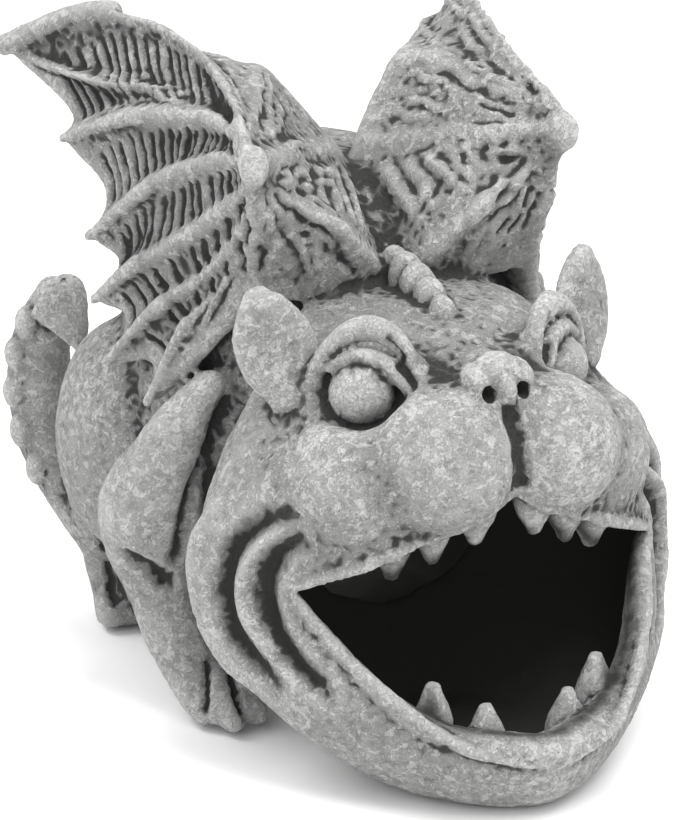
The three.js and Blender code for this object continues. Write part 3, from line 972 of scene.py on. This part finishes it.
class Wires:
    """Adds nodes to a tree and joins them up."""

    def __init__(self, tree):
        self.nodes, self.links = tree.nodes, tree.links

    def add(self, kind, inputs=None, **settings):
        node = self.nodes.new(kind)
        for name, value in settings.items():
            setattr(node, name, value)
        for name, value in (inputs or {}).items():
            if isinstance(value, bpy.types.NodeSocket):
                self.links.new(value, node.inputs[name])
            else:
                node.inputs[name].default_value = value
        return node

    def math(self, kind, *values):
        return self.add("ShaderNodeMath", dict(enumerate(values)), operation=kind).outputs[0]

    def step(self, value, low, high):
        """Rises smoothly from 0 to 1 as value goes from low to high."""
        return self.add("ShaderNodeMapRange", {"Value": value, "From Min": low, "From Max": high},
                        interpolation_type="SMOOTHSTEP").outputs[0]

    def blend(self, share, a, b):
        node = self.add("ShaderNodeMix", {0: share}, data_type="RGBA")
        for socket, value in ((node.inputs[6], a), (node.inputs[7], b)):
            if isinstance(value, bpy.types.NodeSocket):
                self.links.new(value, socket)
            else:
                socket.default_value = value
        return node.outputs[2]


def group(name, sockets):
    """A node group of the given sockets, its wires, its input and its output."""
    tree = bpy.data.node_groups.new(name, "ShaderNodeTree")
    for label, way, kind, default in sockets:
        socket = tree.interface.new_socket(label, in_out=way, socket_type=kind)
        if default is not None:
            socket.default_value = default
    return tree, Wires(tree), tree.nodes.new("NodeGroupInput"), tree.nodes.new("NodeGroupOutput")


def crust_group():
    """Scabs of cast crust: their flat tops and their thin bright edges."""
    tree, wires, given, result = group("stone_crust", [
        ("Place", "INPUT", "NodeSocketVector", None), ("Scale", "INPUT", "NodeSocketFloat", 150.0),
        ("Level", "INPUT", "NodeSocketFloat", 0.5), ("Top", "OUTPUT", "NodeSocketFloat", None),
        ("Edge", "OUTPUT", "NodeSocketFloat", None)])
    spots = wires.add("ShaderNodeTexNoise", {
        "Vector": given.outputs["Place"], "Scale": given.outputs["Scale"], "Detail": 5.0,
        "Roughness": 0.62, "Distortion": 0.6}).outputs["Fac"]
    above = wires.math("SUBTRACT", spots, given.outputs["Level"])
    wires.links.new(wires.step(above, 0.0, 0.035), result.inputs["Top"])
    rim = wires.step(wires.math("ABSOLUTE", wires.math("SUBTRACT", above, 0.02)), 0.03, 0.0)
    wires.links.new(rim, result.inputs["Edge"])
    return tree


def stone_material(looks):
    """Grey cast stone: chalky crust on the raised grain, painted shade darkening the
    hollows of the carving, and a smooth dark wall in the water passage that is partly
    raw cast and partly painted shade."""
    mat = bpy.data.materials.new("weathered_stone")
    mat.use_nodes = True
    mat.node_tree.nodes.clear()
    w = Wires(mat.node_tree)
    place = w.add("ShaderNodeTexCoord").outputs["Object"]
    raised = w.add("ShaderNodeAttribute", attribute_name="raised").outputs["Fac"]
    proud = w.add("ShaderNodeAttribute", attribute_name="proud").outputs["Fac"]
    inside = w.add("ShaderNodeAttribute", attribute_name="inside").outputs["Fac"]
    crust = crust_group()
    drift = w.add("ShaderNodeTexNoise", {"Vector": place, "Scale": 26.0, "Detail": 4.0}).outputs["Fac"]
    grit = w.add("ShaderNodeTexNoise", {"Vector": place, "Scale": 1300.0, "Detail": 4.0,
                                        "Roughness": 0.75}).outputs["Fac"]
    level = w.math("SUBTRACT", 0.64, w.math("MULTIPLY", drift, 0.2))
    level = w.math("SUBTRACT", level, w.math("MULTIPLY", proud, 0.05))
    coarse = w.add("ShaderNodeGroup", node_tree=crust)
    fine = w.add("ShaderNodeGroup", node_tree=crust)
    for node, scale in ((coarse, 1 / looks.crust_size), (fine, 2.6 / looks.crust_size)):
        w.links.new(place, node.inputs["Place"])
        w.links.new(level, node.inputs["Level"])
        node.inputs["Scale"].default_value = scale
    tops = w.math("ADD", w.math("MULTIPLY", coarse.outputs["Top"], 0.36),
                  w.math("MULTIPLY", fine.outputs["Top"], 0.3))
    edges = w.math("ADD", w.math("MULTIPLY", coarse.outputs["Edge"], 0.22),
                   w.math("MULTIPLY", fine.outputs["Edge"], 0.16))
    speckle = w.math("MULTIPLY", w.math("SUBTRACT", grit, 0.5), 1.1)
    chalk = w.math("ADD", w.math("ADD", tops, edges), speckle)
    chalk = w.math("ADD", chalk, w.math("ADD", w.math("MULTIPLY", raised, 0.3),
                                        w.math("MULTIPLY", proud, 0.3)))
    stone = w.blend(w.step(chalk, -0.35, 1.2), (*looks.stone, 1), (*looks.chalk, 1))
    # Painted shade: fine and broad hollows of the carving are darkened towards a near-black colour, where
    # shade falls.
    hollow = w.math("ADD", w.math("MULTIPLY", raised, 0.7), w.math("MULTIPLY", proud, 0.6))
    cavity_shade_mask = w.math("MULTIPLY", w.step(hollow, -0.08, -0.62), 0.9)
    stone = w.blend(cavity_shade_mask, stone, (*looks.painted_shade, 1))
    # The wall of the water passage: partly its dark raw cast and partly painted shade, flecked at random
    # towards the near-black shade colour.
    shade = w.math("MULTIPLY", grit, 0.5)
    lining_and_shade = w.blend(shade, (*looks.lining_and_shade, 1), (*looks.painted_shade, 1))
    colour = w.blend(inside, stone, lining_and_shade)
    height = w.math("ADD", w.math("ADD", w.math("MULTIPLY", coarse.outputs["Top"], 0.6),
                                  w.math("MULTIPLY", fine.outputs["Top"], 0.35)),
                    w.math("MULTIPLY", grit, 0.4))
    height = w.math("MULTIPLY", height, w.math("SUBTRACT", 1.0, w.math("MULTIPLY", inside, 0.9)))
    bump = w.add("ShaderNodeBump", {"Strength": 0.9, "Distance": 0.0007, "Height": height}).outputs[0]
    shader = w.add("ShaderNodeBsdfPrincipled", {
        "Base Color": colour, "Normal": bump, "Roughness": looks.roughness, "Specular IOR Level": 0.2})
    w.links.new(shader.outputs[0], w.add("ShaderNodeOutputMaterial").inputs[0])
    return mat


# -------------------------------------------------------------------------- stage

# In metres, in the frame's place.
FLOOR_HALF = 6
CAMERA_AT = (-0.5068, -1.0352, 0.4805)
CAMERA_AIM = (-0.0155, -0.0051, 0.1097)
LIGHTS_AIM = (0, 0, 0.1)
# Each light's place, size and share of the key light's power.
LIGHTS = {"key": ((0.25, -0.75, 1.9), 1.1, 1), "rim": ((-0.9, 0.9, 1.5), 0.9, 0.5)}


def turned_to(at, aim):
    return (Vector(aim) - Vector(at)).to_track_quat("-Z", "Y")


class GARGOYLE_OT_stage(bpy.types.Operator):
    """Lays the pale floor, hangs the soft lights and places the camera"""
    bl_idname = "gargoyle.stage"
    bl_label = "Set the stage"

    def execute(self, context):
        scene = context.scene
        setting = scene.gargoyle_stage
        bm = bmesh.new()
        bmesh.ops.create_grid(bm, x_segments=1, y_segments=1, size=FLOOR_HALF)
        floor = new_object(bm, "floor")
        mat = bpy.data.materials.new("pale_floor")
        mat.use_nodes = True
        base = mat.node_tree.nodes["Principled BSDF"]
        base.inputs["Base Color"].default_value = (*setting.floor, 1)
        base.inputs["Roughness"].default_value = 0.9
        floor.data.materials.append(mat)
        world = scene.world or bpy.data.worlds.new("studio")
        scene.world = world
        world.use_nodes = True
        scene.view_settings.view_transform = "Standard"
        back = world.node_tree.nodes["Background"]
        back.inputs[0].default_value = (1, 1, 1, 1)
        back.inputs[1].default_value = setting.sky
        for name, (at, size, share) in LIGHTS.items():
            light = bpy.data.lights.new(name, "AREA")
            light.shape = "DISK"
            light.size = size
            light.energy = setting.key * share
            lamp = bpy.data.objects.new(name, light)
            lamp.location = at
            lamp.rotation_mode = "QUATERNION"
            lamp.rotation_quaternion = turned_to(at, LIGHTS_AIM)
            scene.collection.objects.link(lamp)
        data = bpy.data.cameras.new("camera")
        data.lens = setting.lens
        data.sensor_width = 36
        camera = bpy.data.objects.new("camera", data)
        camera.location = CAMERA_AT
        camera.rotation_mode = "QUATERNION"
        camera.rotation_quaternion = turned_to(CAMERA_AT, CAMERA_AIM)
        scene.collection.objects.link(camera)
        scene.camera = camera
        return {"FINISHED"}


class GARGOYLE_PT_panel(bpy.types.Panel):
    """Lists the settings and the steps that make the beast"""
    bl_label = "Stone Gargoyle"
    bl_idname = "GARGOYLE_PT_panel"
    bl_space_type = "VIEW_3D"
    bl_region_type = "UI"
    bl_category = "Gargoyle"

    def draw(self, context):
        for name, group_type in SETTINGS.items():
            box = self.layout.box()
            for key in group_type.__annotations__:
                box.prop(getattr(context.scene, name), key)
        for step in STEPS:
            self.layout.operator(step.bl_idname)


STEPS = (GARGOYLE_OT_form, GARGOYLE_OT_details, GARGOYLE_OT_carve, GARGOYLE_OT_finish,
         GARGOYLE_OT_stage)
CLASSES = (*SETTINGS.values(), *STEPS, GARGOYLE_PT_panel)


def register():
    for cls in CLASSES:
        bpy.utils.register_class(cls)
    for name, group_type in SETTINGS.items():
        setattr(bpy.types.Scene, name, bpy.props.PointerProperty(type=group_type))


def unregister():
    for name in SETTINGS:
        delattr(bpy.types.Scene, name)
    for cls in reversed(CLASSES):
        bpy.utils.unregister_class(cls)


def main():
    register()
    bpy.ops.gargoyle.form()
    bpy.ops.gargoyle.details()
    bpy.ops.gargoyle.carve()
    bpy.ops.gargoyle.finish()
    bpy.ops.gargoyle.stage()


if __name__ == "__main__":
    main()
